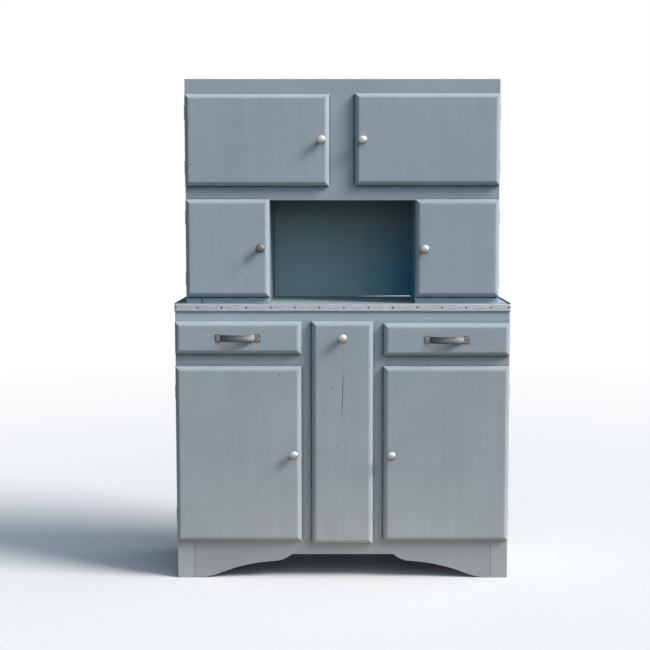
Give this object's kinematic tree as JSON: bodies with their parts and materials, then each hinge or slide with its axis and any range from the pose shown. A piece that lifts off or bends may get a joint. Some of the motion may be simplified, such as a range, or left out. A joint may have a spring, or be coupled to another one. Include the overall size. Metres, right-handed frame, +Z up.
{
  "type": "kitchen hutch",
  "caption": "Painted two-part kitchen buffet: hutch with doors and an open niche on a metal-edged base with doors, drawers and a tilt-out bin.",
  "frame": {"origin": "floor under the middle of the bounding box", "axes": "+Z up, +X to the right as seen from the front, the front faces -Y"},
  "size_m": [1.205, 0.472, 1.802],
  "materials": {
    "paint": "matt brushed paint on wood",
    "bare_wood": "bare softwood and plywood",
    "aluminium": "worn satin",
    "brass": "tarnished",
    "steel": "worn bright steel"
  },
  "bodies": {
    "carcass": {"base_posts": "paint", "base_sides": "paint", "base_inner_stiles": "paint", "base_top_rail": "paint", "base_drawer_rails": "paint", "base_apron": "paint", "hutch_sides": "paint", "hutch_corner_stiles": "paint", "hutch_top_rail": "paint", "hutch_niche_rail": "paint", "hutch_centre_stile": "paint", "hutch_bottom_rails": "paint", "hutch_niche_walls": "paint", "hutch_middle_floor": "paint", "hutch_top": "paint", "hutch_back": "paint", "worktop": "paint", "base_floor": "bare_wood", "base_partitions": "bare_wood", "base_back": "bare_wood", "base_shelves": "bare_wood", "base_battens": "bare_wood", "hutch_cupboard_floors": "bare_wood", "worktop_edging": "aluminium", "edging_nails": "steel", "frame_hinges": "steel", "door_catches": "steel"},
    "upper_left_door_leaf": {"upper_left_door": "paint", "upper_left_door_knob": "aluminium", "upper_left_door_fittings": "steel"},
    "upper_right_door_leaf": {"upper_right_door": "paint", "upper_right_door_knob": "aluminium", "upper_right_door_fittings": "steel"},
    "small_left_door_leaf": {"small_left_door": "paint", "small_left_door_knob": "brass", "small_left_door_fittings": "steel"},
    "small_right_door_leaf": {"small_right_door": "paint", "small_right_door_knob": "aluminium", "small_right_door_fittings": "steel"},
    "lower_left_door_leaf": {"lower_left_door": "paint", "lower_left_door_knob": "aluminium", "lower_left_door_fittings": "steel"},
    "lower_right_door_leaf": {"lower_right_door": "paint", "lower_right_door_knob": "aluminium", "lower_right_door_fittings": "steel"},
    "left_drawer": {"left_drawer_front": "paint", "left_drawer_handle": "steel", "left_drawer_walls": "bare_wood", "left_drawer_bottom": "bare_wood"},
    "right_drawer": {"right_drawer_front": "paint", "right_drawer_handle": "steel", "right_drawer_walls": "bare_wood", "right_drawer_bottom": "bare_wood"},
    "tilt_bin": {"bin_front": "paint", "bin_knob": "aluminium", "bin_hinge_leaves": "steel", "bin_sides": "bare_wood", "bin_bottom": "bare_wood", "bin_back": "bare_wood"}
  },
  "joints": [
    {"name": "upper_left_door_hinge", "type": "hinge", "parent": "carcass", "child": "upper_left_door_leaf", "pos_m": [-0.564, -0.13, 1.585], "axis": [0, 0, -1], "range_deg": [0, 170]},
    {"name": "upper_right_door_hinge", "type": "hinge", "parent": "carcass", "child": "upper_right_door_leaf", "pos_m": [0.564, -0.13, 1.585], "axis": [0, 0, 1], "range_deg": [0, 170]},
    {"name": "small_left_door_hinge", "type": "hinge", "parent": "carcass", "child": "small_left_door_leaf", "pos_m": [-0.564, -0.13, 1.1995], "axis": [0, 0, -1], "range_deg": [0, 170]},
    {"name": "small_right_door_hinge", "type": "hinge", "parent": "carcass", "child": "small_right_door_leaf", "pos_m": [0.564, -0.13, 1.1995], "axis": [0, 0, 1], "range_deg": [0, 170]},
    {"name": "lower_left_door_hinge", "type": "hinge", "parent": "carcass", "child": "lower_left_door_leaf", "pos_m": [-0.6, -0.185, 0.45975], "axis": [0, 0, -1], "range_deg": [0, 170]},
    {"name": "lower_right_door_hinge", "type": "hinge", "parent": "carcass", "child": "lower_right_door_leaf", "pos_m": [0.6, -0.185, 0.45975], "axis": [0, 0, 1], "range_deg": [0, 170]},
    {"name": "left_drawer_slide", "type": "slide", "parent": "carcass", "child": "left_drawer", "axis": [0, -1, 0], "range_m": [0, 0.3]},
    {"name": "right_drawer_slide", "type": "slide", "parent": "carcass", "child": "right_drawer", "axis": [0, -1, 0], "range_m": [0, 0.3]},
    {"name": "bin_tilt", "type": "hinge", "parent": "carcass", "child": "tilt_bin", "pos_m": [0, -0.185, 0.1305], "axis": [1, 0, 0], "range_deg": [0, 24]}
  ]
}
